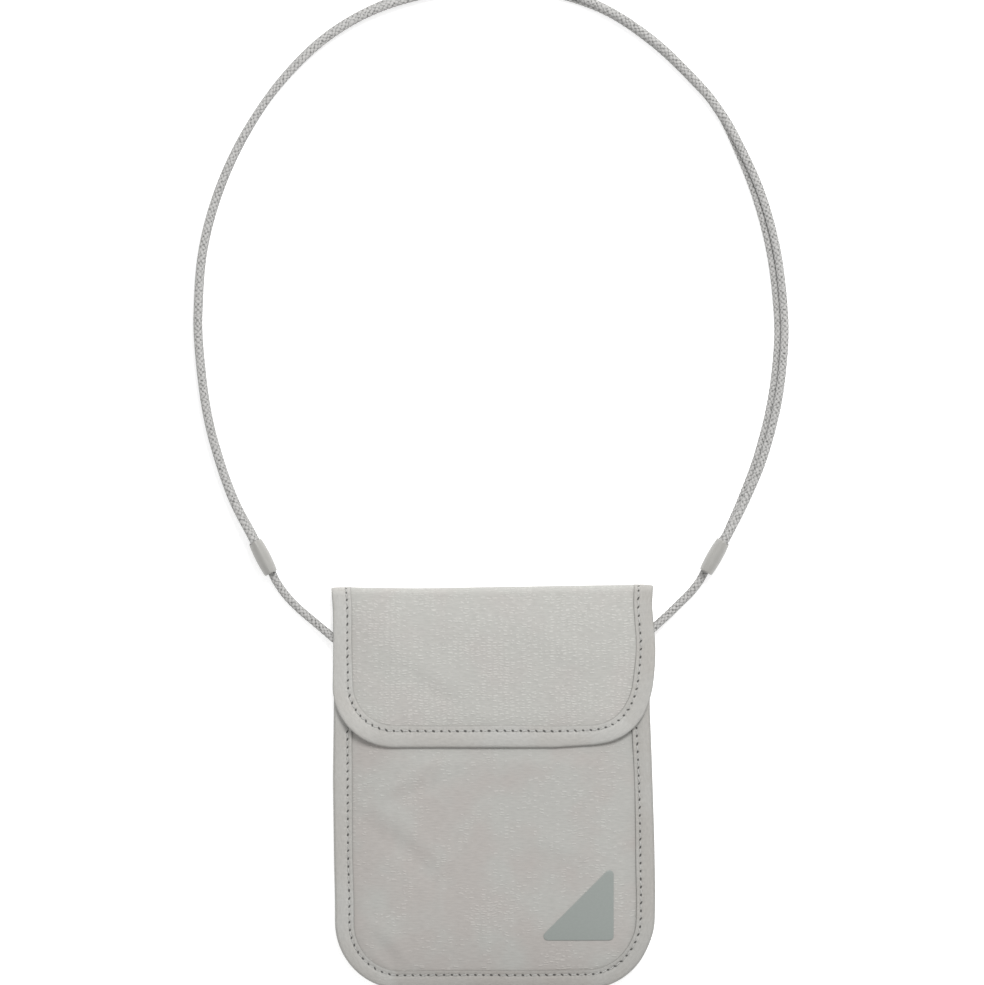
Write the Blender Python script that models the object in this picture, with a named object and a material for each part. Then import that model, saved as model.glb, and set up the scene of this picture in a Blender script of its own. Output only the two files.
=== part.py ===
"""Neck pouch wallet: a flat fabric pouch with a fold-over flap, worn on an adjustable braided neck cord.

The pouch lies on its back. +X is the wearer's left-to-right width, +Y points up to the neck cord and
+Z out of the front. The origin is under the middle of the pouch, on the surface it lies on. Metres.

The fabric layers are thin sheets stacked from back to front. They close up to a thin sandwich inside
the edge binding and open out towards the middle, which leaves the pocket free between the linings.
"""

import math

import bmesh
import bpy
import numpy as np
from mathutils import Vector

# Pouch
WIDTH = 0.130
TOP = 0.0805
BOTTOM = -0.0815
CORNER = 0.027
EDGE_BAND = 0.0077
RISE = 0.026
MOUTH = 0.070

# Flap
FOLD_LINE = 0.077
FLAP_END = 0.0160
FLAP_CORNER = 0.025

# Cloth thicknesses, and the gap kept between neighbouring pieces
PANEL = 0.0006
LINING = 0.0003
BINDING = 0.0006
PATCH = 0.0007
THREAD = 0.0005
GAP = 0.0003
POCKET = 0.0046
EDGE_BASE = 0.0022

# Fastener, badge and bartacks
PATCH_SIZE = (0.060, 0.016)
PATCH_CENTRE = (0.0, 0.036)
BADGE_CORNER = (0.0483, -0.0616)
BADGE_LEG = 0.0309
BADGE_ROUNDING = 0.0019
BARTACK_SIZE = (0.0052, 0.0022)

# Stitch line, measured in from the outer edge
BODY_STITCH_INSET = 0.0057
FLAP_STITCH_INSET = 0.0058

# Cord and beads
CORD_DIAMETER = 0.0030
STRAND_PITCH = 0.0033
FLOOR_LINE = 0.0017
BEAD_LENGTH = 0.0144
BEAD_WIDTH = 0.0063
BEAD_HEIGHT = 0.0096
BEAD_END_WIDTH = 0.86
BEAD_END_HEIGHT = 0.94
BEAD_SQUARENESS = 2.8
BORE_RADIUS = 0.00185
BORE_OFFSET = 0.0003
THROUGH_BORE_HEIGHT = 0.00275
# Places along a through bore's axis that its cord passes: straight for as far as the bead slides
STRAIGHT = (-0.0115, -0.008, -0.003, 0.003, 0.008, 0.0115)
BLIND_BORE_HEIGHT = 0.00685
BLIND_BORE_END = -0.0026
CURVE_STEPS = 24

# Straight spans of each cord's tube: up to its own bead, through it, round the neck, into the other bead
CORD_SPANS = (3, 1, 33, 2)

# Middle line of the doubled cord from the left bead to the right one: x, y, and the angle in degrees
# at which the left cord's strand lies about that line (0 outside, 90 on top, -90 underneath).
LOOP = (
    (-0.1045, 0.1150, -99),
    (-0.1105, 0.1315, -97),
    (-0.1155, 0.1510, -95),
    (-0.1185, 0.1750, -95),
    (-0.1190, 0.1920, -95),
    (-0.1170, 0.2165, -95),
    (-0.1105, 0.2405, -94),
    (-0.1000, 0.2632, -90),
    (-0.0857, 0.2841, -82),
    (-0.0670, 0.3023, -74),
    (-0.0440, 0.3150, -66),
    (-0.0140, 0.3231, -20),
    (0.0140, 0.3232, 30),
    (0.0425, 0.3143, 78),
    (0.0645, 0.3002, 80),
    (0.0829, 0.2825, 84),
    (0.0905, 0.2730, 85),
    (0.0969, 0.2618, 72),
    (0.1066, 0.2394, 47),
    (0.1129, 0.2160, 41),
    (0.1158, 0.1920, 41),
    (0.1158, 0.1755, 41),
    (0.1132, 0.1545, 41),
    (0.1078, 0.1334, 47),
    (0.1012, 0.1165, 62),
)

BEADS = {
    "left": {"centre": (-0.0928, 0.0924), "towards_neck": 117.0, "outwards": 1},
    "right": {"centre": (0.0890, 0.0927), "towards_neck": 60.3, "outwards": -1},
}

# Each cord from the side seam to the first bead: x, y, z
LEADS = {
    "left": (
        (-0.0664, 0.0615, 0.0041),
        (-0.0720, 0.0662, 0.0030),
        (-0.0784, 0.0716, 0.0020),
        (-0.0835, 0.0769, 0.0023),
    ),
    "right": (
        (0.0664, 0.0657, 0.0041),
        (0.0708, 0.0697, 0.0031),
        (0.0752, 0.0740, 0.0021),
        (0.0795, 0.07825, 0.0023),
    ),
}

# Sheet columns, as shares of the half width
COLUMNS = (-1, -0.93, -0.84, -0.72, -0.56, -0.3, 0, 0.3, 0.56, 0.72, 0.84, 0.93, 1)


def stacked(base, layers):
    """Lower height of each layer of a stack that starts at base, with GAP between neighbours."""
    heights = {}
    for name, thickness in layers:
        heights[name] = base
        base += thickness + GAP
    return heights


MIDDLE_HEIGHTS = stacked(0.0, (
    ("back_panel", PANEL),
    ("back_lining", LINING),
    ("card_pocket", LINING),
    ("pocket", POCKET),
    ("front_lining", LINING),
    ("front_panel", PANEL),
    ("loop_patch", PATCH),
    ("hook_patch", PATCH),
    ("flap_lining", LINING),
    ("flap_shell", PANEL),
))

EDGE_HEIGHTS = stacked(EDGE_BASE, (
    ("body_binding_back", BINDING),
    ("back_panel", PANEL),
    ("back_lining", LINING),
    ("card_pocket", LINING),
    ("front_lining", LINING),
    ("front_panel", PANEL),
    ("body_binding_front", BINDING),
    ("body_stitching", THREAD),
    ("flap_binding_back", BINDING),
    ("flap_lining", LINING),
    ("flap_shell", PANEL),
))


def edge_distance(x, y):
    """Distance in from the pouch's sides and bottom, whose lower corners are round."""
    across = abs(x) - (WIDTH / 2 - CORNER)
    down = BOTTOM + CORNER - y
    outside = math.hypot(max(across, 0), max(down, 0))
    inside = min(max(across, down), 0)
    return CORNER - outside - inside


def layer_height(layer, x, y):
    """Lower height of a layer: from its place in the edge sandwich to its place in the middle."""
    share = min(max(edge_distance(x, y) / RISE, 0), 1)
    risen = 1 - (1 - share) ** 2
    return EDGE_HEIGHTS[layer] + (MIDDLE_HEIGHTS[layer] - EDGE_HEIGHTS[layer]) * risen


def clear_scene():
    for obj in list(bpy.data.objects):
        bpy.data.objects.remove(obj)


def material(name, colour, roughness):
    made = bpy.data.materials.new(name)
    made.use_nodes = True
    shader = made.node_tree.nodes["Principled BSDF"]
    shader.inputs["Base Color"].default_value = (*colour, 1)
    shader.inputs["Roughness"].default_value = roughness
    return made


def link(name, data, finish, parent=None):
    obj = bpy.data.objects.new(name, data)
    bpy.context.scene.collection.objects.link(obj)
    obj.data.materials.append(finish)
    obj.parent = parent
    return obj


def mesh_from(name, points, faces):
    mesh = bpy.data.meshes.new(name)
    mesh.from_pydata([tuple(p) for p in points], [], faces)
    shape = bmesh.new()
    shape.from_mesh(mesh)
    bmesh.ops.recalc_face_normals(shape, faces=shape.faces)
    shape.to_mesh(mesh)
    shape.free()
    mesh.shade_smooth()
    mesh.set_sharp_from_angle(angle=math.radians(40))
    return mesh


def empty_at(name, place):
    """An empty on a joint's axis, which the moving pieces are parented to."""
    empty = bpy.data.objects.new(name, None)
    bpy.context.scene.collection.objects.link(empty)
    empty.location = place
    return empty


def hang_from(empty, obj):
    """Parents obj to the empty and leaves it where it is."""
    obj.parent = empty
    obj.matrix_parent_inverse = empty.matrix_basis.inverted()
    return obj


def rounded_half_width(y, inset, end, corner):
    """Half width at y of the inset outline whose lower corners are round."""
    centre = end + corner
    if y >= centre:
        return WIDTH / 2 - inset
    radius = corner - inset
    reach = math.sqrt(max(radius**2 - (centre - y) ** 2, 0))
    return WIDTH / 2 - corner + reach


def rows_between(low, high, corner, corner_rows=6, spacing=0.0125):
    """Sheet rows: closer together round the lower corners, even above them."""
    rows = [low + corner * (1 - math.cos(math.pi / 2 * i / corner_rows)) for i in range(corner_rows)]
    count = max(1, round((high - low - corner) / spacing))
    return rows + [low + corner + (high - low - corner) * i / count for i in range(count + 1)]


def sheet(name, rows, half_width, lower, thickness, finish):
    """A thin closed sheet over a grid of rows and COLUMNS, thickness tall everywhere."""
    grid = [(share * half_width(y), y) for y in rows for share in COLUMNS]
    points = [(x, y, lower(x, y)) for x, y in grid]
    points += [(x, y, z + thickness) for x, y, z in points]
    width, top = len(COLUMNS), len(grid)
    faces = []
    for row in range(len(rows) - 1):
        for column in range(width - 1):
            a = row * width + column
            quad = (a, a + 1, a + width + 1, a + width)
            faces += [quad[::-1], tuple(i + top for i in quad)]
    last = (len(rows) - 1) * width
    rim = list(range(width)) + [row * width + width - 1 for row in range(1, len(rows))]
    rim += [last + column for column in range(width - 2, -1, -1)]
    rim += [row * width for row in range(len(rows) - 2, 0, -1)]
    for a, b in zip(rim, rim[1:] + rim[:1]):
        faces.append((a, b, b + top, a + top))
    return link(name, mesh_from(name, points, faces), finish)


def body_sheet(name, thickness, high, finish):
    """A layer of the pouch body, held inside the edge binding on three sides."""
    inset = BINDING + GAP
    rows = rows_between(BOTTOM + inset, high, CORNER - inset)
    return sheet(
        name,
        rows,
        lambda y: rounded_half_width(y, inset, BOTTOM, CORNER),
        lambda x, y: layer_height(name, x, y),
        thickness,
        finish,
    )


def flap_sheet(name, thickness, finish):
    """A layer of the flap, held inside the flap's own binding on three sides."""
    inset = BINDING + GAP
    rows = rows_between(FLAP_END + inset, FOLD_LINE - GAP, FLAP_CORNER - inset)
    return sheet(
        name,
        rows,
        lambda y: rounded_half_width(y, inset, FLAP_END, FLAP_CORNER),
        lambda x, y: layer_height(name, x, y),
        thickness,
        finish,
    )


def u_outline(end, corner, high, corner_steps=7, side_steps=6):
    """Stations round three sides, from the upper left down, across and up: place and inward direction."""
    stations = []
    left = -WIDTH / 2
    for i in range(side_steps):
        y = high + (end + corner - high) * i / side_steps
        stations.append(((left, y), (1.0, 0.0)))
    for i in range(corner_steps + 1):
        turn = math.pi / 2 * i / corner_steps
        inward = (math.cos(turn), math.sin(turn))
        centre = (left + corner, end + corner)
        stations.append(((centre[0] - corner * inward[0], centre[1] - corner * inward[1]), inward))
    stations.append(((0.0, end), (0.0, 1.0)))
    mirrored = [((-x, y), (-nx, ny)) for (x, y), (nx, ny) in stations[-2::-1]]
    return stations + mirrored


def swept(name, stations, section, finish):
    """A closed solid swept round an outline. section(x, y, inward) lists the ring of points at a station."""
    rings = [section(place, inward) for place, inward in stations]
    count = len(rings[0])
    points = [p for ring in rings for p in ring]
    faces = []
    for station in range(len(rings) - 1):
        for i in range(count):
            a = station * count + i
            b = station * count + (i + 1) % count
            faces.append((a, b, b + count, a + count))
    faces.append(tuple(range(count))[::-1])
    faces.append(tuple((len(rings) - 1) * count + i for i in range(count)))
    return link(name, mesh_from(name, points, faces), finish)


def binding(name, stations, front_layer, front_thickness, back_layer, finish):
    """A tape folded over the edge: a front leg, a turned edge and a back leg, round three sides."""
    fold = BINDING * 1.6

    def section(place, inward):
        def at(depth):
            return place[0] + inward[0] * depth, place[1] + inward[1] * depth

        def front(depth, rise):
            x, y = at(depth)
            return x, y, layer_height(front_layer, x, y) + front_thickness + GAP + rise

        def back(depth, drop):
            x, y = at(depth)
            return x, y, layer_height(back_layer, x, y) - GAP - drop

        x, y = place
        outer = [front(d, BINDING) for d in (EDGE_BAND, EDGE_BAND / 2, fold)]
        outer.append((x, y, front(0, 0)[2]))
        outer.append((x, y, back(0, 0)[2]))
        outer += [back(d, BINDING) for d in (fold, EDGE_BAND / 2, EDGE_BAND)]
        inner = [back(d, 0) for d in (EDGE_BAND, EDGE_BAND / 2, BINDING)]
        inner += [front(d, 0) for d in (BINDING, EDGE_BAND / 2, EDGE_BAND)]
        return outer + inner

    return swept(name, stations, section, finish)


def stitch_line(name, stations, inset, layer, cover, finish):
    """The row of thread that runs round the front leg of a binding."""
    sides = 6

    def section(place, inward):
        x = place[0] + inward[0] * inset
        y = place[1] + inward[1] * inset
        z = layer_height(layer, x, y) + cover + THREAD / 2
        ring = []
        for i in range(sides):
            turn = 2 * math.pi * i / sides
            reach = THREAD / 2 * math.cos(turn)
            ring.append((x + inward[0] * reach, y + inward[1] * reach, z + THREAD / 2 * math.sin(turn)))
        return ring

    return swept(name, stations, section, finish)


def fold_strip(name, finish):
    """The stretch of flap fabric that turns over the top edge, from the back panel to the flap."""
    steps = 8
    deep = TOP - FOLD_LINE
    points = []
    columns = [share * (WIDTH / 2 - BINDING - GAP) for share in COLUMNS]
    for x in columns:
        low = layer_height("back_panel", x, FOLD_LINE)
        high = layer_height("flap_shell", x, FOLD_LINE) + PANEL
        middle, reach = (low + high) / 2, (high - low) / 2
        turns = [math.pi * (i / steps - 0.5) for i in range(steps + 1)]
        outer = [(x, FOLD_LINE + deep * math.cos(t), middle + reach * math.sin(t)) for t in turns]
        inner = [
            (x, FOLD_LINE + (deep - PANEL) * math.cos(t), middle + (reach - PANEL) * math.sin(t))
            for t in turns[::-1]
        ]
        points += outer + inner
    count = 2 * (steps + 1)
    faces = []
    for column in range(len(columns) - 1):
        for i in range(count):
            a = column * count + i
            b = column * count + (i + 1) % count
            faces.append((a, b, b + count, a + count))
    faces.append(tuple(range(count))[::-1])
    faces.append(tuple((len(columns) - 1) * count + i for i in range(count)))
    return link(name, mesh_from(name, points, faces), finish)


def prism(name, outline, lower, thickness, finish):
    """A closed plate over an outline, laid on the surface that lower(x, y) describes."""
    bottom = [(x, y, lower(x, y)) for x, y in outline]
    top = [(x, y, z + thickness) for x, y, z in bottom]
    count = len(outline)
    faces = [tuple(range(count))[::-1], tuple(count + i for i in range(count))]
    faces += [(i, (i + 1) % count, count + (i + 1) % count, count + i) for i in range(count)]
    return link(name, mesh_from(name, bottom + top, faces), finish)


def rounded_outline(corners, radius, steps=4):
    """The polygon with its corners rounded: each corner becomes an arc between its two edges."""
    outline = []
    for i, corner in enumerate(corners):
        here = Vector(corner)
        before = (Vector(corners[i - 1]) - here).normalized()
        after = (Vector(corners[(i + 1) % len(corners)]) - here).normalized()
        half = before.angle(after) / 2
        centre = here + (before + after).normalized() * radius / math.sin(half)
        start = here + before * radius / math.tan(half) - centre
        turn = math.pi - 2 * half
        side = 1 if before.x * after.y - before.y * after.x < 0 else -1
        for step in range(steps + 1):
            angle = side * turn * step / steps
            outline.append((
                centre.x + start.x * math.cos(angle) - start.y * math.sin(angle),
                centre.y + start.x * math.sin(angle) + start.y * math.cos(angle),
            ))
    return outline


def rectangle(centre, size, turned=0.0):
    """Corners of a rectangle, counter-clockwise, turned about its centre."""
    half = Vector(size) / 2
    corners = []
    for sx, sy in ((-1, -1), (1, -1), (1, 1), (-1, 1)):
        x, y = sx * half.x, sy * half.y
        corners.append((
            centre[0] + x * math.cos(turned) - y * math.sin(turned),
            centre[1] + x * math.sin(turned) + y * math.cos(turned),
        ))
    return corners


def fastener_patch(name, finish):
    outline = rounded_outline(rectangle(PATCH_CENTRE, PATCH_SIZE), 0.002)
    return prism(name, outline, lambda x, y: MIDDLE_HEIGHTS[name], PATCH, finish)


def badge(finish):
    """A right-angled triangle with its square corner at the lower right."""
    x, y = BADGE_CORNER
    outline = rounded_outline(((x - BADGE_LEG, y), (x, y), (x, y + BADGE_LEG)), BADGE_ROUNDING)
    highest = max(layer_height("front_panel", px, py) for px, py in outline)
    return prism("badge", outline, lambda px, py: highest + PANEL + GAP, PANEL, finish)


def bartack(side, finish):
    """The dense stitch block that holds a cord's tail in the side seam, on the back of the binding."""
    way = -1 if side == "left" else 1
    x = way * (WIDTH / 2 - EDGE_BAND / 2)
    y = LEADS[side][0][1] - 0.003
    outline = rounded_outline(rectangle((x, y), BARTACK_SIZE, way * math.radians(39)), 0.0006, 3)
    cover = GAP + BINDING + GAP + THREAD
    return prism(
        f"{side}_bartack",
        outline,
        lambda px, py: layer_height("back_panel", px, py) - cover,
        THREAD,
        finish,
    )


def direction(degrees):
    return np.array([math.cos(math.radians(degrees)), math.sin(math.radians(degrees)), 0.0])


def bead_axes(side):
    """The bead's centre on the ground, its way towards the neck, and its way out of the loop."""
    bead = BEADS[side]
    along = direction(bead["towards_neck"])
    outwards = direction(bead["towards_neck"] + 90 * bead["outwards"])
    return np.array([*bead["centre"], 0.0]), along, outwards


def in_bore(side, bore, along_distance):
    """A point on the axis of a bead's through bore or blind bore."""
    centre, along, outwards = bead_axes(side)
    sideways = -BORE_OFFSET if bore == "through" else BORE_OFFSET
    height = THROUGH_BORE_HEIGHT if bore == "through" else BLIND_BORE_HEIGHT
    place = centre + along * along_distance + outwards * sideways
    place[2] = height
    return place


def smooth_curve(points):
    """A Catmull-Rom curve through the points, with CURVE_STEPS steps between neighbours."""
    p = np.asarray(points, float)
    p = np.vstack([2 * p[0] - p[1], p, 2 * p[-1] - p[-2]])
    t = np.linspace(0, 1, CURVE_STEPS, endpoint=False)[:, None]
    spans = []
    for a, b, c, d in zip(p, p[1:], p[2:], p[3:]):
        spans.append(
            0.5 * (2 * b + (c - a) * t + (2 * a - 5 * b + 4 * c - d) * t**2 + (3 * b - a - 3 * c + d) * t**3)
        )
    return np.vstack([*spans, p[-2:-1]])


def evenly_spaced(points, count):
    """The curve read at count places, equally far apart along it."""
    gone = np.concatenate([[0], np.cumsum(np.linalg.norm(np.diff(points, axis=0), axis=1))])
    at = np.linspace(0, gone[-1], count)
    return np.stack([np.interp(at, gone, points[:, axis]) for axis in range(3)], axis=1)


def loop_strand(side):
    """Points of one strand of the doubled cord, from its own bead to the other one."""
    middle = np.array([(x, y) for x, y, _ in LOOP])
    forward = np.gradient(middle, axis=0)
    forward /= np.linalg.norm(forward, axis=1)[:, None]
    outwards = np.stack([-forward[:, 1], forward[:, 0]], axis=1)
    points = []
    for (x, y, twist), out in zip(LOOP, outwards):
        angle = math.radians(twist if side == "left" else twist + 180)
        sideways = math.cos(angle) * STRAND_PITCH / 2
        lift = abs(math.sin(angle)) * STRAND_PITCH / 2
        height = FLOOR_LINE + lift + math.sin(angle) * STRAND_PITCH / 2
        points.append((x + out[0] * sideways, y + out[1] * sideways, height))
    return points if side == "left" else points[::-1]


def cord_route(side):
    """Places from the side seam, through this side's bead, round the neck and into the other bead."""
    other = "right" if side == "left" else "left"
    through = [in_bore(side, "through", distance) for distance in STRAIGHT]
    into = [in_bore(other, "blind", distance) for distance in (0.011, 0.004, -0.002)]
    return [*LEADS[side], *through, *loop_strand(side), *into]


def cord_points(side):
    """Corners of a cord's tube: even along each stretch of its route, with one at each end of a bore."""
    route = cord_route(side)
    curve = smooth_curve(route)
    lead = len(LEADS[side])
    ends = (0, lead, lead + len(STRAIGHT) - 1, len(route) - 3, len(route) - 1)
    points = [curve[:1]]
    for start, end, spans in zip(ends, ends[1:], CORD_SPANS):
        stretch = curve[start * CURVE_STEPS:end * CURVE_STEPS + 1]
        points.append(evenly_spaced(stretch, spans + 1)[1:])
    return np.vstack(points)


def cord(side, finish):
    """One braided cord as a round tube along its route."""
    curve = bpy.data.curves.new(f"{side}_cord", "CURVE")
    curve.dimensions = "3D"
    curve.bevel_depth = CORD_DIAMETER / 2
    curve.bevel_resolution = 2
    curve.use_fill_caps = True
    places = cord_points(side)
    spline = curve.splines.new("POLY")
    spline.points.add(len(places) - 1)
    for point, place in zip(spline.points, places):
        point.co = (*place, 1)
    return link(f"{side}_cord", curve, finish)


def barrel_mesh(name):
    """The bead's outside along +X: a barrel of rounded-square section, slimmer towards its blunt ends."""
    sides, steps = 24, 8
    power = 2 / BEAD_SQUARENESS
    points = []
    for i in range(steps + 1):
        share = 2 * i / steps - 1
        wide = BEAD_END_WIDTH + (1 - BEAD_END_WIDTH) * (1 - share**2)
        tall = BEAD_END_HEIGHT + (1 - BEAD_END_HEIGHT) * (1 - share**2)
        for k in range(sides):
            turn = 2 * math.pi * k / sides
            points.append((
                share * BEAD_LENGTH / 2,
                wide * BEAD_WIDTH / 2 * math.copysign(abs(math.cos(turn)) ** power, math.cos(turn)),
                tall * BEAD_HEIGHT / 2 * math.copysign(abs(math.sin(turn)) ** power, math.sin(turn)),
            ))
    faces = [
        (i * sides + k, i * sides + (k + 1) % sides, (i + 1) * sides + (k + 1) % sides, (i + 1) * sides + k)
        for i in range(steps)
        for k in range(sides)
    ]
    faces.append(tuple(range(sides))[::-1])
    faces.append(tuple(steps * sides + k for k in range(sides)))
    return mesh_from(name, points, faces)


def bore_cutter(name, start, end):
    """A hidden cylinder between two points, which cuts one bore."""
    mesh = bpy.data.meshes.new(name)
    shape = bmesh.new()
    length = float(np.linalg.norm(end - start))
    bmesh.ops.create_cone(
        shape, cap_ends=True, segments=20, radius1=BORE_RADIUS, radius2=BORE_RADIUS, depth=length
    )
    shape.to_mesh(mesh)
    shape.free()
    cutter = bpy.data.objects.new(name, mesh)
    bpy.context.scene.collection.objects.link(cutter)
    cutter.location = (start + end) / 2
    cutter.rotation_mode = "QUATERNION"
    cutter.rotation_quaternion = Vector(end - start).to_track_quat("Z", "Y")
    cutter.hide_render = True
    cutter.display_type = "WIRE"
    return cutter


def bead(side, finish):
    """A two-hole slider: one cord runs through it, the other cord's end is held in its blind bore."""
    centre, _, _ = bead_axes(side)
    slider = empty_at(f"{side}_bead_slide", (centre[0], centre[1], BEAD_HEIGHT / 2))
    obj = link(f"{side}_bead", barrel_mesh(f"{side}_bead"), finish)
    obj.location = slider.location
    obj.rotation_euler = (0, 0, math.radians(BEADS[side]["towards_neck"]))
    beyond = BEAD_LENGTH
    bores = (
        ("through", in_bore(side, "through", -beyond), in_bore(side, "through", beyond)),
        ("blind", in_bore(side, "blind", BLIND_BORE_END), in_bore(side, "blind", beyond)),
    )
    for bore, start, end in bores:
        cut = obj.modifiers.new(f"{bore}_bore", "BOOLEAN")
        cut.operation = "DIFFERENCE"
        cut.object = bore_cutter(f"{side}_{bore}_bore_cutter", start, end)
    return hang_from(slider, obj)


def build_body(finishes):
    body_sheet("back_panel", PANEL, FOLD_LINE - GAP, finishes["fabric"])
    body_sheet("back_lining", LINING, FOLD_LINE - GAP, finishes["lining"])
    body_sheet("card_pocket", LINING, 0.012, finishes["lining"])
    body_sheet("front_lining", LINING, MOUTH, finishes["lining"])
    body_sheet("front_panel", PANEL, MOUTH, finishes["fabric"])
    stations = u_outline(BOTTOM, CORNER, FOLD_LINE - GAP)
    binding("body_binding", stations, "front_panel", PANEL, "back_panel", finishes["binding"])
    over_binding = PANEL + GAP + BINDING + GAP
    stitch_line(
        "body_stitching", stations, BODY_STITCH_INSET, "front_panel", over_binding, finishes["thread"]
    )
    fastener_patch("loop_patch", finishes["fastener"])
    badge(finishes["badge"])
    for side in ("left", "right"):
        bartack(side, finishes["thread"])


def build_flap(finishes):
    hinge = empty_at("flap_hinge", (0, FOLD_LINE, hinge_height()))
    stations = u_outline(FLAP_END, FLAP_CORNER, FOLD_LINE - GAP, side_steps=4)
    over_binding = PANEL + GAP + BINDING + GAP
    pieces = (
        flap_sheet("flap_lining", LINING, finishes["lining"]),
        flap_sheet("flap_shell", PANEL, finishes["fabric"]),
        binding("flap_binding", stations, "flap_shell", PANEL, "flap_lining", finishes["binding"]),
        stitch_line(
            "flap_stitching", stations, FLAP_STITCH_INSET, "flap_shell", over_binding, finishes["thread"]
        ),
        fastener_patch("hook_patch", finishes["fastener"]),
    )
    for piece in pieces:
        hang_from(hinge, piece)
    fold_strip("flap_fold", finishes["fabric"])


def hinge_height():
    """Half the closed thickness, so that the open flap lies flat on the ground beyond the fold."""
    return (MIDDLE_HEIGHTS["flap_shell"] + PANEL + GAP + BINDING + GAP + THREAD) / 2 + 0.00005


def build_cord_set(finishes):
    for side in ("left", "right"):
        cord(side, finishes["cord"])
        bead(side, finishes["bead"])


def main():
    clear_scene()
    finishes = {
        "fabric": material("shell_fabric", (0.50, 0.49, 0.46), 0.75),
        "lining": material("lining_fabric", (0.36, 0.36, 0.35), 0.8),
        "binding": material("binding_fabric", (0.51, 0.51, 0.48), 0.7),
        "thread": material("sewing_thread", (0.42, 0.42, 0.40), 0.6),
        "fastener": material("fastener_tape", (0.40, 0.40, 0.38), 0.9),
        "badge": material("badge_film", (0.34, 0.35, 0.34), 0.4),
        "cord": material("braided_cord", (0.50, 0.50, 0.46), 0.7),
        "bead": material("bead_plastic", (0.40, 0.40, 0.37), 0.35),
    }
    build_body(finishes)
    build_flap(finishes)
    build_cord_set(finishes)


main()
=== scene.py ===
"""Looks of the neck pouch wallet: woven cloth, bound and stitched edges, a blank badge, braided cords
and slider beads, lit softly and seen from straight above. Metres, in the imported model's frame."""

import math

import bmesh
import bpy
import numpy as np
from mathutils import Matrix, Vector
from mathutils.bvhtree import BVHTree


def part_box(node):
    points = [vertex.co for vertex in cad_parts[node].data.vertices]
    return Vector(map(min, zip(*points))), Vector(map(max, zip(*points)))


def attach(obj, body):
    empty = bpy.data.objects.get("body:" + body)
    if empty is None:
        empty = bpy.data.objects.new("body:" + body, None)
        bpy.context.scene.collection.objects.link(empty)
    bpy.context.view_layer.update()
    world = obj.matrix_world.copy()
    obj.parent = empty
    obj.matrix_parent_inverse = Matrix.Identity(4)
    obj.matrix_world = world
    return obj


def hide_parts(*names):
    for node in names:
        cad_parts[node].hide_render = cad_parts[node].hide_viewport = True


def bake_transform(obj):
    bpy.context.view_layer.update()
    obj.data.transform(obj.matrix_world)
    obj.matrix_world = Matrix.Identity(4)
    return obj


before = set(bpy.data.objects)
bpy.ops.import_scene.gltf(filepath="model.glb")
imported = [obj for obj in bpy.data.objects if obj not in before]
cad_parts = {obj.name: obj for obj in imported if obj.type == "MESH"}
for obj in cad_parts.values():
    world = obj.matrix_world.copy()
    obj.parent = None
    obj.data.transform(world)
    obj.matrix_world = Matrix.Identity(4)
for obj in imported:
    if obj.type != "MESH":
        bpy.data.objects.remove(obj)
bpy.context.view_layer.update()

MM = 0.001

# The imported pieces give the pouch's outline.
HALF_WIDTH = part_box("body_binding")[1][0]
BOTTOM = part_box("body_binding")[0][1]
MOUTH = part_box("front_panel")[1][1]
FLAP_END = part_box("flap_binding")[0][1]
FOLD_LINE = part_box("flap_fold")[0][1]
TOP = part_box("flap_fold")[1][1]

BODY_CORNER = 0.027
FLAP_CORNER = 0.025
PANEL_INSET = 1.2 * MM
RISE = 0.026
TOP_RISE = 0.020
PINCH = 0.35
HEM_WIDTH = 9 * MM
BADGE_ROUNDING = 1.7 * MM
BADGE_TOP = 0.28 * MM
PATCH_THICKNESS = 0.75 * MM
PILE_ROUGHNESS = 0.14 * MM
# The satin stitches over a cord's tail: their turn in degrees, their half width and their spacing
TACK_TURN = 39
TACK_HALF_WIDTH = 1.1 * MM
TACK_STEPS = np.arange(-2.4, 2.5, 0.4) * MM
FOLD_DEPTH = TOP - FOLD_LINE - 0.5 * MM
FOLD_LENGTH = 14.0 * MM
# The folded edge's crest: place across and height above the fold's plain edge, in mm
FOLD_CREST = ((-65, 0.1), (-57, 0.4), (-50, 0.2), (-30, 0.0), (0, 0.5), (43, 1.2), (60, 1.4), (65, 1.0))

# How far the sewn edges stray from straight: place along the pouch and shift towards +X, in mm
DRIFT = {
    "body": {
        -1: ((-82, 1.2), (-46, 1.2), (-29, 0.8), (3, 0.4), (30, 0.7), (80, 0.7)),
        1: (
            (-82, -1.1), (-64, -1.0), (-56, -0.1), (-45, 0.2),
            (-21, -0.2), (10, -1.2), (33, -2.1), (80, -1.5),
        ),
    },
    "flap": {
        -1: ((16, 0.3), (37, 0.3), (45, 0.5), (60, 0.6), (74, 0.4), (80, -0.4)),
        1: ((16, -1.2), (35, -1.8), (43, -0.6), (53, 0.2), (59, 0.0), (67, -0.8), (75, -1.4), (80, -0.7)),
    },
}

# Binding tape: its width and its stitch line, both measured in from the outer edge
BAND = 7.7 * MM
STITCH_LINE = 5.8 * MM
STITCH_PITCH = 3.2 * MM
STITCH_LENGTH = 2.3 * MM
BAND_STEP = 0.4 * MM
# A stitch's thread: how deep its ends dip, how far it arches up between them, and half its height
STITCH_DIP = 0.28 * MM
STITCH_ARCH = 0.36 * MM
THREAD_HALF_HEIGHT = 0.2 * MM

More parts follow.
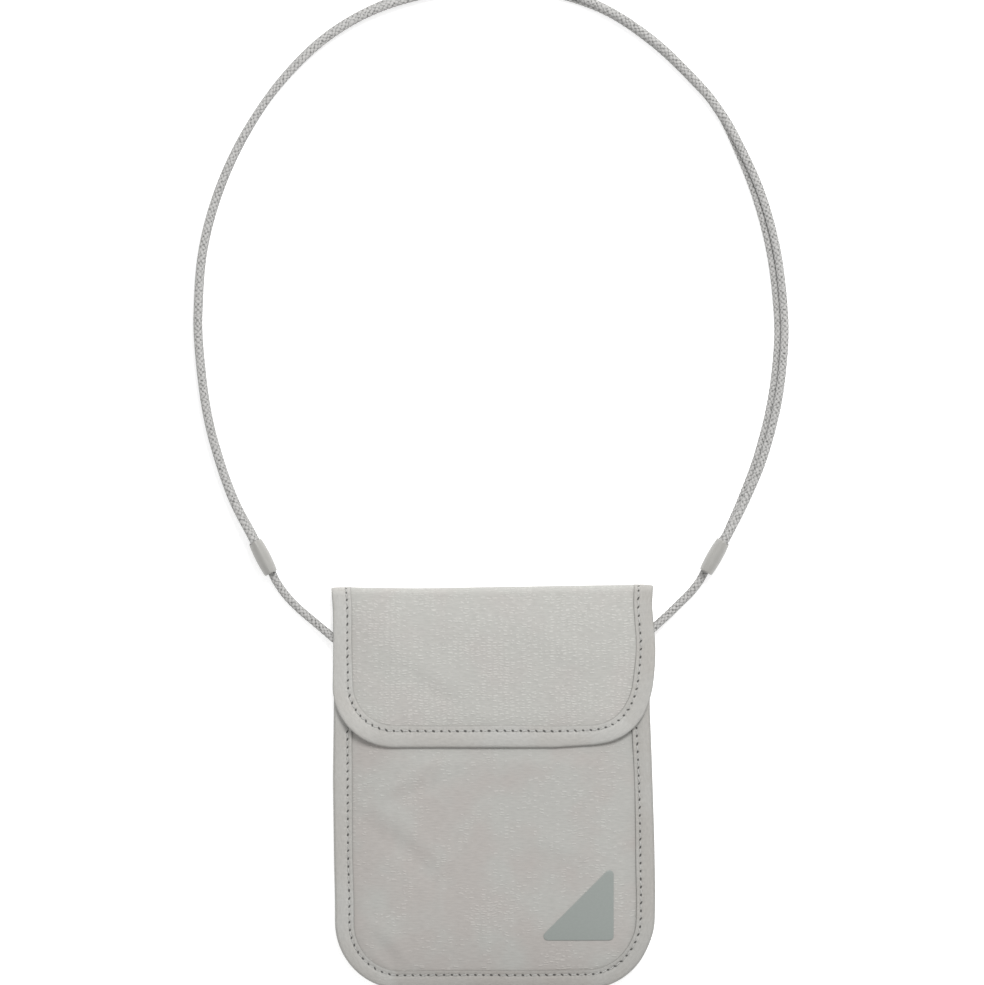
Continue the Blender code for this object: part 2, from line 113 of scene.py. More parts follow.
# Height of each face of the cloth at the sewn edge and in the middle
LEVELS = {
    "back_outer": (1.4 * MM, 0.0),
    "back_inner": (2.4 * MM, 1.1 * MM),
    "front_inner": (3.4 * MM, 7.0 * MM),
    "front_outer": (4.4 * MM, 8.2 * MM),
    "flap_inner": (6.3 * MM, 10.5 * MM),
    "flap_outer": (6.9 * MM, 11.1 * MM),
}
FLAP_THICKNESS = 0.6 * MM
FLAP_EDGE_DROP = 1.6 * MM
FLAP_EDGE_RISE = 0.013
# Where the flap's lower corners curl up: place across, place up the pouch and lift
FLAP_CURLS = ((-0.060, 0.021, 0.9 * MM), (0.060, 0.021, 0.3 * MM))
CURL_REACH = 0.011
# The flap's right end sits a little higher: by how much, from where across, and how far up it fades
HITCH = 1.2 * MM
HITCH_ACROSS = (25 * MM, 43 * MM)
HITCH_FADE = 20 * MM
FLAP_BAND_SPREAD = 0.14

# Soft creases: start, end, height and breadth, in mm
BODY_CREASES = (
    ((-57, -9), (-16, -42), -0.60, 4.2),
    ((-55, -3), (-14, -33), 0.45, 4.6),
    ((-55, -51), (-33, -71), 0.45, 3.6),
    ((-52, -57), (-36, -73), -0.50, 3.0),
    ((-51, -4), (-12, 14), 0.40, 3.2),
    ((-48, -10), (-10, 8), -0.35, 3.0),
    ((8, -18), (46, -30), 0.30, 4.5),
)
FLAP_CREASES = (
    ((-46, 62), (-8, 33), 0.40, 5.0),
    ((-40, 50), (-6, 27), -0.35, 4.0),
    ((4, 71), (48, 44), 0.35, 5.5),
    ((-22, 30), (30, 26), 0.25, 3.5),
)

# Cords and beads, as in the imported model
CORD_DIAMETER = 0.0032
STRAND_PITCH = 0.0033
FLOOR_LINE = 0.0017
BEAD_LENGTH = 0.0144
BEAD_WIDTH = 0.0063
BEAD_HEIGHT = 0.0096
BEAD_END_WIDTH = 0.86
BEAD_END_HEIGHT = 0.94
BEAD_SQUARENESS = 2.8
BORE_RADIUS = 0.00193
BORE_OFFSET = 0.0003
# Where the bores' cutting cylinders start and end along the bead
THROUGH_CUT = (-0.0145, 0.0145)
BLIND_CUT = (-0.0026, 0.0145)
THROUGH_BORE_HEIGHT = 0.00275
# Places along a bead's through bore that keep the cord straight in it
STRAIGHT = (-0.0115, -0.008, -0.003, 0.003, 0.008, 0.0115)
BLIND_BORE_HEIGHT = 0.00685
# The doubled cord round the neck: its middle's x and y, and the twist of its strands in degrees
LOOP = (
    (-0.1045, 0.1150, -99),
    (-0.1105, 0.1315, -97),
    (-0.1155, 0.1510, -95),
    (-0.1185, 0.1750, -95),
    (-0.1190, 0.1920, -95),
    (-0.1170, 0.2165, -95),
    (-0.1105, 0.2405, -94),
    (-0.1000, 0.2632, -90),
    (-0.0857, 0.2841, -82),
    (-0.0670, 0.3023, -74),
    (-0.0440, 0.3150, -66),
    (-0.0140, 0.3231, -20),
    (0.0140, 0.3232, 30),
    (0.0425, 0.3143, 78),
    (0.0645, 0.3002, 80),
    (0.0829, 0.2825, 84),
    (0.0905, 0.2730, 85),
    (0.0969, 0.2618, 72),
    (0.1066, 0.2394, 47),
    (0.1129, 0.2160, 41),
    (0.1158, 0.1920, 41),
    (0.1158, 0.1755, 41),
    (0.1132, 0.1545, 41),
    (0.1078, 0.1334, 47),
    (0.1012, 0.1165, 62),
)
BEADS = {
    "left": {"centre": (-0.0928, 0.0924), "towards_neck": 117.0, "outwards": 1},
    "right": {"centre": (0.0890, 0.0927), "towards_neck": 60.3, "outwards": -1},
}
LEADS = {
    "left": (
        (-0.0664, 0.0615, 0.0041),
        (-0.0720, 0.0662, 0.0030),
        (-0.0784, 0.0716, 0.0020),
        (-0.0835, 0.0769, 0.0023),
    ),
    "right": (
        (0.0664, 0.0657, 0.0041),
        (0.0708, 0.0697, 0.0031),
        (0.0752, 0.0740, 0.0021),
        (0.0795, 0.07825, 0.0023),
    ),
}
OTHER = {"left": "right", "right": "left"}
CARRIERS = 10
BRAID_LEAD = 11.0 * MM
CORD_STEP = 0.3 * MM
TAIL_LENGTH = 0.080


# Camera and light

# What the camera shows: its middle, the height that this is reckoned at, and its width there
VIEW_MIDDLE = (-0.0006, 0.1185)
VIEW_HEIGHT = 0.006
VIEW_WIDTH = 0.3961
LENS = 200

WORLD_LIGHT = 0.68
LAMP_PLACE = (0.32, 1.00, 1.25)
LAMP_TARGET = (0, 0.1, 0)
LAMP_SIZE = 0.6
LAMP_POWER = 18.5
FLOOR_HALF_SIZE = 6
FLOOR_GLOW = 0.46


def camera():
    """Straight above, far enough away that the pouch shows no perspective."""
    data = bpy.data.cameras.new("camera")
    data.lens = LENS
    data.sensor_fit = "HORIZONTAL"
    data.clip_end = 20
    eye = bpy.data.objects.new("camera", data)
    eye.location = (*VIEW_MIDDLE, VIEW_HEIGHT + VIEW_WIDTH * data.lens / data.sensor_width)
    bpy.context.scene.collection.objects.link(eye)
    bpy.context.scene.camera = eye


def lamp(name, place, target, size, power):
    data = bpy.data.lights.new(name, "AREA")
    data.shape = "DISK"
    data.size = size
    data.energy = power
    obj = bpy.data.objects.new(name, data)
    obj.location = place
    obj.rotation_mode = "QUATERNION"
    obj.rotation_quaternion = (Vector(target) - Vector(place)).to_track_quat("-Z", "Y")
    bpy.context.scene.collection.objects.link(obj)


def studio():
    world = bpy.data.worlds.new("studio")
    bpy.context.scene.world = world
    world.use_nodes = True
    world.node_tree.nodes["Background"].inputs["Color"].default_value = (1, 1, 1, 1)
    world.node_tree.nodes["Background"].inputs["Strength"].default_value = WORLD_LIGHT
    lamp("high_lamp", LAMP_PLACE, LAMP_TARGET, LAMP_SIZE, LAMP_POWER)
    bpy.context.scene.view_settings.view_transform = "Standard"
    size = FLOOR_HALF_SIZE
    mesh = bpy.data.meshes.new("floor")
    corners = [(-size, -size, 0), (size, -size, 0), (size, size, 0), (-size, size, 0)]
    mesh.from_pydata(corners, [], [(0, 1, 2, 3)])
    floor = bpy.data.objects.new("floor", mesh)
    floor.location.z = -0.0001
    bpy.context.scene.collection.objects.link(floor)
    glow = Shader("floor_glow", (0.93, 0.93, 0.93), 0.9)
    glow.principled.inputs["Emission Color"].default_value = (1, 1, 1, 1)
    glow.principled.inputs["Emission Strength"].default_value = FLOOR_GLOW
    mesh.materials.append(glow.material)


# Materials


class Value:
    """What a node puts out; reckoning with it adds the nodes of the sum."""

    def __init__(self, shader, socket):
        self.shader, self.socket = shader, socket

    def __add__(self, other):
        return self.shader.math("ADD", self, other)

    def __sub__(self, other):
        return self.shader.math("SUBTRACT", self, other)

    def __rsub__(self, other):
        return self.shader.math("SUBTRACT", other, self)

    def __mul__(self, other):
        return self.shader.math("MULTIPLY", self, other)

    def __truediv__(self, other):
        return self.shader.math("DIVIDE", self, other)

    def __mod__(self, other):
        return self.shader.math("FLOORED_MODULO", self, other)

    def __pow__(self, power):
        return self.shader.math("POWER", self, power)

    def __abs__(self):
        return self.shader.math("ABSOLUTE", self)

    def floor(self):
        return self.shader.math("FLOOR", self)

    def sine(self):
        return self.shader.math("SINE", self)

    def cosine(self):
        return self.shader.math("COSINE", self)

    def off_centre(self):
        """Place within a step of one, from -0.5 to 0.5."""
        return self.shader.math("FRACT", self) - 0.5


class Shader:
    """A Principled material with short ways to add the nodes of its pattern."""

    def __init__(self, name, colour, roughness):
        self.material = bpy.data.materials.new(name)
        self.material.use_nodes = True
        self.tree = self.material.node_tree
        self.principled = self.tree.nodes["Principled BSDF"]
        self.principled.inputs["Base Color"].default_value = (*colour, 1)
        self.principled.inputs["Roughness"].default_value = roughness
        self.material.diffuse_color = (*colour, 1)

    def node(self, kind, **settings):
        node = self.tree.nodes.new(f"ShaderNode{kind}")
        for key, value in settings.items():
            setattr(node, key, value)
        return node

    def wire(self, source, socket):
        """Links a value to a socket, or sets a plain number or colour."""
        if isinstance(source, Value):
            self.tree.links.new(source.socket, socket)
        elif source is not None:
            socket.default_value = source

    def result(self, node, *sources):
        """The node's first output, once the sources are wired to its first inputs."""
        for source, socket in zip(sources, node.inputs):
            self.wire(source, socket)
        return Value(self, node.outputs[0])

    def parts(self, node, source):
        """The outputs of a node that takes a vector or a colour apart."""
        self.wire(source, node.inputs[0])
        return [Value(self, output) for output in node.outputs]

    def math(self, operation, first, second=None):
        return self.result(self.node("Math", operation=operation), first, second)

    def cloth_coordinates(self):
        """The piece's own cloth coordinates, in millimetres along its pattern."""
        place = self.result(self.node("UVMap", uv_map="cloth"))
        return self.parts(self.node("SeparateXYZ"), place)[:2]

    def vector(self, x, y, z=0.0):
        return self.result(self.node("CombineXYZ"), x, y, z)

    def noise(self, place, scale, detail=2.0, roughness=0.5):
        node = self.node("TexNoise")
        node.inputs["Scale"].default_value = scale
        node.inputs["Detail"].default_value = detail
        node.inputs["Roughness"].default_value = roughness
        return self.result(node, place)

    def chance(self, x, y):
        """Three random numbers for each pair of whole numbers."""
        node = self.node("TexWhiteNoise", noise_dimensions="2D")
        self.wire(self.vector(x, y), node.inputs["Vector"])
        return self.parts(self.node("SeparateColor"), Value(self, node.outputs["Color"]))

    def between(self, value, low, high, new_low=0.0, new_high=1.0):
        return self.result(self.node("MapRange", clamp=True), value, low, high, new_low, new_high)

    def ramp(self, value, stops):
        """A colour ramp: (place, linear colour) for each stop."""
        node = self.node("ValToRGB")
        elements = node.color_ramp.elements
        while len(elements) < len(stops):
            elements.new(0.5)
        for element, (place, colour) in zip(elements, stops):
            element.position = place
            element.color = (*colour, 1)
        return self.result(node, value)

    def tinted(self, colour, tone):
        """The colour, multiplied by a grey tone."""
        node = self.node("Mix", data_type="RGBA", blend_type="MULTIPLY")
        node.inputs[0].default_value = 1
        self.wire(colour, node.inputs[6])
        self.wire(tone, node.inputs[7])
        return Value(self, node.outputs[2])

    def sheen(self, weight, roughness=0.5):
        self.principled.inputs["Sheen Weight"].default_value = weight
        self.principled.inputs["Sheen Roughness"].default_value = roughness
        return self

    def paint(self, colour, height, distance, strength, roughness=None):
        """The finished material, with its colour, its bump of that height and, if given, its roughness."""
        self.wire(colour, self.principled.inputs["Base Color"])
        self.wire(roughness, self.principled.inputs["Roughness"])
        bump = self.node("Bump")
        bump.inputs["Distance"].default_value = distance
        bump.inputs["Strength"].default_value = strength
        self.wire(height, bump.inputs["Height"])
        self.wire(Value(self, bump.outputs[0]), self.principled.inputs["Normal"])
        return self.material


def slubs(shader, u, v, density, seed):
    """Short thick places in the weft: thin dashes along u, stacked in columns, that come in patches."""
    row_pitch, cell = 1.1, 2.3
    waver = shader.noise(shader.vector(u, v, seed + 1), 0.12, 3.0)
    rows = (waver * 3.6 + v) / row_pitch
    row = rows.floor()
    offset, _, _ = shader.chance(row, seed + 0.5)
    cells = offset * 0.45 + u / cell
    column = cells.floor()
    longer, higher, present = shader.chance(column, row)
    past_end = abs(cells.off_centre() * cell) - (longer * 0.75 + 0.15)
    off_line = abs(rows.off_centre() * row_pitch + (higher * 0.5 - 0.25))
    dash = shader.between(past_end, -0.1, 0.3, 1, 0) * shader.between(off_line, 0.1, 0.4, 1, 0)
    strips = shader.noise(shader.vector(column * 0.31, v * 0.05, seed + 4), 1.0)
    patches = shader.noise(shader.vector(u, v, seed + 6), 0.07)
    wanted = present + shader.between(strips, 0.35, 0.65, -0.5, 0.2)
    wanted = wanted + shader.between(patches, 0.35, 0.6, -0.4, 0.1)
    return dash * shader.between(wanted, 1 - density, 1.15 - density)


def woven(name, light, dark, green, warm, pitch=0.55, density=0.5, seed=0.0):
    """Plain weave with slubs: light and dark are the thread tones, green and warm tint its patches."""
    shader = Shader(name, light, 0.82).sheen(0.1)
    u, v = shader.cloth_coordinates()
    plain = (v * (2 * math.pi / pitch)).sine() * (u * (2 * math.pi / pitch)).sine()
    thread = plain * 0.05 + shader.noise(shader.vector(u * 0.32, v * 1.7, seed), 1.0, 3.0, 0.6)
    dashes = slubs(shader, u, v, density, seed)
    tone = shader.between(dashes * 0.42 + thread, 0.2, 1.1)
    colour = shader.ramp(tone, ((0.0, dark), (1.0, light)))
    lean = (v + u * 0.6) * 0.0011 + shader.noise(shader.vector(u, v, seed + 3), 0.055)
    tint = shader.ramp(lean, ((0.36, warm), (0.60, green)))
    return shader.paint(
        shader.tinted(colour, tint),
        dashes * 0.6 + thread * 0.4,
        distance=0.30 * MM,
        strength=0.55,
        roughness=shader.between(tone, 0, 1, 0.88, 0.76),
    )


def braided(name, light, dark):
    """The crossing carriers of a round braid, with painted shade between the carriers, a painted highlight
    on their crests and painted shade on the cord's sides and underside; u runs along the cord and v once
    round it.
    """
    shader = Shader(name, light, 0.75).sheen(0.1)
    u, v = shader.cloth_coordinates()
    angle = v * (2 * math.pi)
    circle = shader.vector(u, angle.sine(), angle.cosine())
    turns = shader.noise(circle, 0.8, 3.0) * 1.3 + v * (CARRIERS / 2)
    steps = u * (CARRIERS / 2 / (BRAID_LEAD / MM))
    first, second = turns + steps, turns - steps
    one, two = first.off_centre(), second.off_centre()
    odd = (first.floor() + second.floor()) % 2.0
    even = 1.0 - odd
    across = odd * two + even * one
    along = odd * one + even * two
    dome = 1.0 - ((abs(across) * 2.3) ** 2 + (abs(along) * 1.7) ** 2)
    # The colour mixes random flecks with the carriers' crest shape: painted shade in the gaps between
    # carriers and a painted highlight on their crests.
    tone = shader.noise(circle, 1.4, 3.0, 0.6) * 3.8 + dome
    colour = shader.ramp(shader.between(tone, 0.9, 2.7), ((0.0, dark), (0.9, light)))
    # Painted shade: the cord's sides and underside are darkened in the colour, by the angle round the cord.
    under = shader.between(angle.sine(), -0.3, 0.7, 0.66, 1.0)
    return shader.paint(shader.tinted(colour, under), dome, distance=0.22 * MM, strength=0.7)


def spun(name, light, dark):
    """Sewing thread: twisted plies along each stitch."""
    shader = Shader(name, light, 0.6).sheen(0.1)
    u, v = shader.cloth_coordinates()
    ply = (u * 9.0 + v * 12.0).sine()
    colour = shader.ramp(shader.between(ply, -1, 1), ((0.0, dark), (0.6, light)))
    return shader.paint(colour, ply, distance=0.06 * MM, strength=0.6)


def taped(name, light, dark, warm, joints, edge_shade):
    """Binding tape: cross ribs, needle holes, painted shade on the turned edge and at the inner lip, and a
    tone for each joined length.

    joints lists (place along the tape in mm, tone up to that place); edge_shade is how far in, in mm,
    the turned edge has painted shade.
    """
    shader = Shader(name, light, 0.8).sheen(0.1)
    u, v = shader.cloth_coordinates()
    depth = abs(v)
    ribs = (u * (2 * math.pi / 0.6)).sine()
    thread = ribs * 0.04 + shader.noise(shader.vector(u * 0.5, v * 1.2, 2.0), 1.0, 3.0, 0.6)
    colour = shader.ramp(shader.between(thread, 0.25, 0.75), ((0.0, dark), (1.0, light)))
    pitch = STITCH_PITCH / MM
    turns = u / pitch + 0.5
    along = turns.off_centre() * pitch
    length, slant, _ = shader.chance(turns.floor(), 0.5)
    across = abs(along * (slant * 0.6 - 0.05) + (depth - STITCH_LINE / MM))
    reach = abs(along * (length * -0.6 + 1.75))
    hole = shader.between((reach**2 + (across * 2.2) ** 2) ** 0.5, 0.6, 1.15, 0.17, 1.0)
    frayed = shader.noise(shader.vector(u, v, 9.0), 1.1)
    worn = (frayed - 0.5) * shader.between(across, 0.7, 1.6, 0.5, 0.0) + 1.0
    # Painted shade: the turned outer edge is darkened in the colour.
    edge = shader.between(depth, 0.1, edge_shade, 0.74, 1.0)
    # Painted shade: the inner lip, where the tape turns down to the cloth, is darkened in the colour.
    lip = shader.between(depth, 7.25, 7.6, 1.0, 0.72)
    lengths = shader.ramp(shader.between(u, 0, joints[-1][0]), steps_of(joints))
    patches = shader.noise(shader.vector(u, v, 5.0), 0.07)
    tint = shader.ramp(patches, ((0.38, warm), (0.6, (1, 1, 1))))
    colour = shader.tinted(shader.tinted(colour, tint), lengths)
    return shader.paint(
        shader.tinted(colour, hole * worn * (edge * lip)), thread, distance=0.3 * MM, strength=0.5
    )


def steps_of(joints):
    """Ramp stops that hold each joined length's tone and change quickly at the joint."""
    whole = joints[-1][0]
    stops, start = [], 0.0
    for end, tone in joints:
        stops += [(start / whole + 0.004, tone), (end / whole - 0.004, tone)]
        start = end
    return stops


def pile(name, light, dark):
    """Short fibres of a fastener patch."""
    shader = Shader(name, light, 0.95).sheen(0.3)
    fibre = shader.noise(shader.vector(*shader.cloth_coordinates()), 2.6, 4.0, 0.7)
    colour = shader.ramp(shader.between(fibre, 0.3, 0.7), ((0.0, dark), (1.0, light)))
    return shader.paint(colour, fibre, distance=0.5 * MM, strength=0.9)


def moulded(name, colour):
    """Satin plastic with a faint moulded grain, and painted shade low down on its sides."""
    shader = Shader(name, colour, 0.32)
    place = Value(shader, shader.node("TexCoord").outputs["Object"])
    grain = shader.noise(place, 1600, 3.0)
    tone = shader.ramp(shader.noise(place, 160), ((0.3, (0.93, 0.93, 0.93)), (0.7, (1, 1, 1))))
    # Painted shade: the colour darkens towards the bead's lower part, by height in the bead's own frame.
    low = shader.between(shader.parts(shader.node("SeparateXYZ"), place)[2], -0.001, 0.0028, 0.7, 1.0)
    return shader.paint(
        shader.tinted(shader.tinted((*colour, 1), tone), low),
        grain,
        distance=0.05 * MM,
        strength=0.25,
        roughness=shader.between(grain, 0.3, 0.7, 0.27, 0.38),
    )


def film(name, colour):
    """The badge: a thin satin film with a faintly visible cloth texture under it."""
    shader = Shader(name, colour, 0.5)
    u, v = shader.cloth_coordinates()
    weave = shader.noise(shader.vector(u * 0.5, v), 1.6)
    tone = shader.ramp(weave, ((0.3, (0.95, 0.95, 0.95)), (0.7, (1, 1, 1))))
    return shader.paint(shader.tinted((*colour, 1), tone), weave, distance=0.12 * MM, strength=0.3)


# Shapes of the cloth


def drift(part, x, y):
    """How far a point strays sideways with the edge that it is nearer to."""
    shift = 0.0
    for way, stops in DRIFT[part].items():
        places, shifts = np.array(stops).T * MM
        edge = sum(np.interp(y + step * MM, places, shifts) for step in (-3, 0, 3)) / 3
        shift = shift + edge * np.clip(way * x / HALF_WIDTH, 0, 1) ** 1.5
    return shift


def placed(part, x, y, z):
    return np.stack([x + drift(part, x, y), y, z], axis=-1)


def ease(share):
    share = np.clip(share, 0, 1)
    return 1 - (1 - share) ** 2


def edge_distance(x, y):
    """Distance in from the pouch's sides and bottom."""
    across = np.abs(x) - (HALF_WIDTH - BODY_CORNER)
    down = BOTTOM + BODY_CORNER - y
    outside = np.hypot(np.maximum(across, 0), np.maximum(down, 0))
    inside = np.minimum(np.maximum(across, down), 0)
    return BODY_CORNER - outside - inside


def level(face, x, y):
    """Height of a face of the cloth: thin at the sewn edge, risen in the middle, pinched near the fold."""
    risen = ease(edge_distance(x, y) / RISE)
    if face.startswith("back"):
        pinch = 1.0
    else:
        pinch = PINCH + (1 - PINCH) * ease((TOP - y) / TOP_RISE)
    edge, middle = LEVELS[face]
    height = edge + (middle - edge) * risen * pinch
    if face.startswith("flap"):
        height = height - FLAP_EDGE_DROP * risen * (1 - ease((y - FLAP_END) / FLAP_EDGE_RISE))
        for across, up, lift in FLAP_CURLS:
            away = ((x - across) ** 2 + (y - up) ** 2) / CURL_REACH**2
            height = height + lift * np.exp(-away)
    return height


def creased(x, y, creases):
    """Height of the soft creases at each place."""
    height = 0.0 * x
    for start, end, high, breadth in creases:
        start, end = np.array(start) * MM, np.array(end) * MM
        along = (end - start) / np.linalg.norm(end - start)
        gone = (x - start[0]) * along[0] + (y - start[1]) * along[1]
        off = (y - start[1]) * along[0] - (x - start[0]) * along[1]
        off = off + 1.1 * MM * np.sin(gone / 0.0055 + start[0] / MM)
        share = np.clip(gone / np.linalg.norm(end - start), 0, 1)
        height = height + high * MM * np.exp(-((off / (breadth * MM)) ** 2)) * np.sin(math.pi * share)
    return height


def body_face(side, x, y, height):
    """A point on the pouch's front or back, that far outside the cloth."""
    if side == "front":
        z = level("front_outer", x, y) + height
    else:
        z = np.maximum(level("back_outer", x, y) - height, 0.05 * MM)
    return placed("body", x, y, z)


def flap_face(side, x, w, height):
    """A point on the flap, whose w is y on its front and runs on round the fold to the back."""
    lift = np.where(np.asarray(side == "front"), height, -FLAP_THICKNESS - height)
    high = level("flap_outer", x, np.full_like(x, FOLD_LINE))
    low = level("back_outer", x, np.full_like(x, FOLD_LINE))
    turn = np.clip((w - FOLD_LINE) / FOLD_LENGTH, 0, 1) * math.pi
    middle, reach = (high + low) / 2, (high - low) / 2
    fold_y = FOLD_LINE + (FOLD_DEPTH + 0.4 * lift) * np.sin(turn)
    fold_z = middle + (reach + lift) * np.cos(turn)
    on_front = w <= FOLD_LINE
    crest = np.interp(x, *(np.array(FOLD_CREST).T * MM)) * np.clip((w - FOLD_LINE) / (16 * MM) + 1, 0, 1)
    hitch = HITCH * np.interp(x, HITCH_ACROSS, (0, 1)) * np.clip(1 - (w - FLAP_END) / HITCH_FADE, 0, 1)
    y = np.where(on_front, w, fold_y) + crest + hitch
    z = np.where(on_front, level("flap_outer", x, w) + lift, fold_z)
    return placed("flap", x, y, z)


def half_width(y, inset, end, corner):
    """Half width at y of an outline whose lower corners are round."""
    drop = np.clip(end + corner - y, 0, corner - inset)
    return HALF_WIDTH - corner + np.sqrt((corner - inset) ** 2 - drop**2)


def rows_between(low, high, corner, step):
    """Row places: closer together round the lower corners, even above them."""
    turns = np.linspace(0, math.pi / 2, 24, endpoint=False)
    count = round((high - low - corner) / step)
    return np.concatenate([low + corner * (1 - np.cos(turns)), np.linspace(low + corner, high, count)])


class Builder:
    """Collects closed rings of points into one mesh with cloth coordinates."""

    def __init__(self):
        self.points, self.faces, self.uvs, self.slots = [], [], [], []
        self.count = 0

    def rings(self, points, u, v, slots=None):
        """Rings of points, rows by places round. u and v give each point's cloth coordinates in mm."""
        rows, around = points.shape[:2]
        r, c = np.meshgrid(np.arange(rows - 1), np.arange(around), indexing="ij")
        nxt = (c + 1) % around
        corners = [(r, c, c), (r, nxt, c + 1), (r + 1, nxt, c + 1), (r + 1, c, c)]
        quads = np.stack([row * around + place for row, place, _ in corners], axis=-1).reshape(-1, 4)
        u = np.concatenate([u, u[:, :1]], axis=1) if u.shape[1] == around else u
        v = np.concatenate([v, v[:, :1]], axis=1) if v.shape[1] == around else v
        coordinates = np.stack(
            [np.stack([u[row, place], v[row, place]], axis=-1) for row, _, place in corners], axis=-2
        ).reshape(-1, 2)
        self.faces += (quads + self.count).tolist()
        self.uvs.append(coordinates)
        slot = np.zeros(around, int) if slots is None else np.asarray(slots)
        self.slots += np.broadcast_to(slot, (rows - 1, around)).reshape(-1).tolist()
        for row in (0, rows - 1):
            self.faces.append((self.count + row * around + np.arange(around)).tolist())
            self.uvs.append(np.stack([u[row, :around], v[row, :around]], axis=-1))
            self.slots.append(0)
        self.points.append(points.reshape(-1, 3))
        self.count += rows * around

    def slab(self, outer, inner, u, v):
        """A sheet of cloth with two faces: grids of points, rows by columns."""
        rings = np.concatenate([outer, inner[:, ::-1]], axis=1)
        columns = outer.shape[1]
        slots = [0] * (columns - 1) + [0] + [1] * (columns - 1) + [0]
        round_u, round_v = (np.concatenate([grid, grid[:, ::-1]], axis=1) for grid in (u, v))
        self.rings(rings, round_u, round_v, slots)

    def object(self, name, *materials):
        mesh = bpy.data.meshes.new(name)
        mesh.from_pydata(np.concatenate(self.points).tolist(), [], self.faces)
        layer = mesh.uv_layers.new(name="cloth")
        layer.data.foreach_set("uv", np.concatenate(self.uvs).astype(np.float32).reshape(-1))
        mesh.polygons.foreach_set("material_index", np.asarray(self.slots, np.int32))
        for item in materials:
            mesh.materials.append(item)
        shape = bmesh.new()
        shape.from_mesh(mesh)
        long_caps = [face for face in shape.faces if len(face.verts) > 60]
        bmesh.ops.triangulate(shape, faces=long_caps)
        bmesh.ops.recalc_face_normals(shape, faces=shape.faces)
        shape.to_mesh(mesh)
        shape.free()
        mesh.shade_smooth()
        mesh.set_sharp_from_angle(angle=math.radians(55))
        obj = bpy.data.objects.new(name, mesh)
        bpy.context.scene.collection.objects.link(obj)
        return obj


def slab(name, outer, inner, x, y, *materials):
    """A piece of cloth between two grids of points, with x and y as its cloth coordinates."""
    build = Builder()
    build.slab(outer, inner, x / MM, y / MM)
    return build.object(name, *materials)


def edge_path(end, corner, high, spread=0.0):
    """Even steps round three sides on the stitch line; the band is that share wider round the bottom."""
    radius = corner - STITCH_LINE
    side = high - (end + corner)
    base = 2 * (HALF_WIDTH - corner)
    arc = math.pi / 2 * radius
    total = 2 * side + 2 * arc + base
    s = np.linspace(0, total, round(total / BAND_STEP) + 1)
    turn = np.clip((s - side) / arc, 0, 1) + np.clip((s - side - arc - base) / arc, 0, 1)
    nx, ny = np.cos(turn * math.pi / 2), np.sin(turn * math.pi / 2)
    along_base = np.clip(s - side - arc, 0, base)
    x = -(HALF_WIDTH - corner) + along_base - radius * nx
    down = np.clip(s, 0, side) - np.clip(s - side - 2 * arc - base, 0, side)
    y = np.where(down < side, high - down, end + corner - radius * ny)
    from_end = total / 2 - np.abs(s - total / 2)
    wide = 1 + spread * np.clip((from_end - side + 18 * MM) / (26 * MM), 0, 1)
    return {"x": x, "y": y, "nx": nx, "ny": ny, "s": s, "wide": wide}


def on_band(path, face, side, s, depth, height):
    """A point of the band: s along the stitch line, depth in from the outer edge, height off the cloth."""
    x, y, nx, ny = (np.interp(s, path["s"], path[key]) for key in ("x", "y", "nx", "ny"))
    uneven = 1 + 0.035 * np.sin(s / 0.0127 + 1.3) * np.sin(s / 0.031)
    depth = depth * uneven * np.interp(s, path["s"], path["wide"])
    return face(side, x + nx * (depth - STITCH_LINE), y + ny * (depth - STITCH_LINE), height)


def pucker(s, depth, seed):
    """Small waves that the stitches pull into the tape, and slower unevenness along it."""
    near = np.exp(-(((depth - STITCH_LINE) / (1.6 * MM)) ** 2))
    waves = 0.07 * MM * np.cos(2 * math.pi * s / STITCH_PITCH) * near
    slow = np.sin(s / 0.0061 + seed) + np.sin(s / 0.0113 + 2.1 * seed) + np.sin(s / 0.0039 + 3.3 * seed)
    dents = 0.26 * MM * near * np.exp(-((2 * np.sin(math.pi * s / STITCH_PITCH)) ** 2))
    return waves + 0.06 * MM * slow * (0.4 + depth / BAND) - dents


# Depth in from the edge and height off the cloth, in mm, from the inner lip to the turned edge
BAND_PROFILE = (
    (7.70, -0.15),
    (7.74, 0.30),
    (7.60, 0.66),
    (7.25, 0.80),
    (6.80, 0.72),
    (6.40, 0.62),
    (6.05, 0.55),
    (5.80, 0.52),
    (5.55, 0.55),
    (5.20, 0.65),
    (4.70, 0.76),
    (3.90, 0.88),
    (2.90, 0.90),
    (2.00, 0.88),
    (1.20, 0.82),
    (0.60, 0.66),
    (0.25, 0.34),
)


def band(name, path, face, material, relief, seed):
    """The binding tape, swept along its path: front leg, turned edge and back leg."""
    s = path["s"]
    columns, depths = [], []

    def add(side, depth, height):
        offset = relief * pucker(s, depth, seed + (side == "back")) if height > 0.2 * MM else 0
        columns.append(on_band(path, face, side, s, np.full_like(s, depth), height + offset))
        depths.append(depth / MM * (1 if side == "front" else -1))

    for depth, height in BAND_PROFILE:
        add("front", depth * MM, height * relief * MM)
    front, back = (
        on_band(path, face, side, s, np.full_like(s, 0.05 * MM), np.full_like(s, -0.2 * MM))
        for side in ("front", "back")
    )
    outward = on_band(path, face, "front", s, np.full_like(s, -0.1 * MM), np.full_like(s, -0.2 * MM)) - front
    for share in (0.15, 0.5, 0.85):
        columns.append(front + (back - front) * share + outward * math.sin(math.pi * share))
        depths.append(0.0)
    for depth, height in BAND_PROFILE[::-1]:
        add("back", depth * MM, height * relief * MM * 0.8)
    for side in ("back", "front"):
        columns.append(on_band(path, face, side, s, np.full_like(s, 3.5 * MM), np.full_like(s, -0.1 * MM)))
        depths.append(3.5)
    points = np.stack(columns, axis=1)
    build = Builder()
    u = np.repeat(s[:, None] / MM, len(depths), axis=1)
    build.rings(points, u, np.repeat(np.array(depths)[None], len(s), axis=0))
    return build.object(name, material)


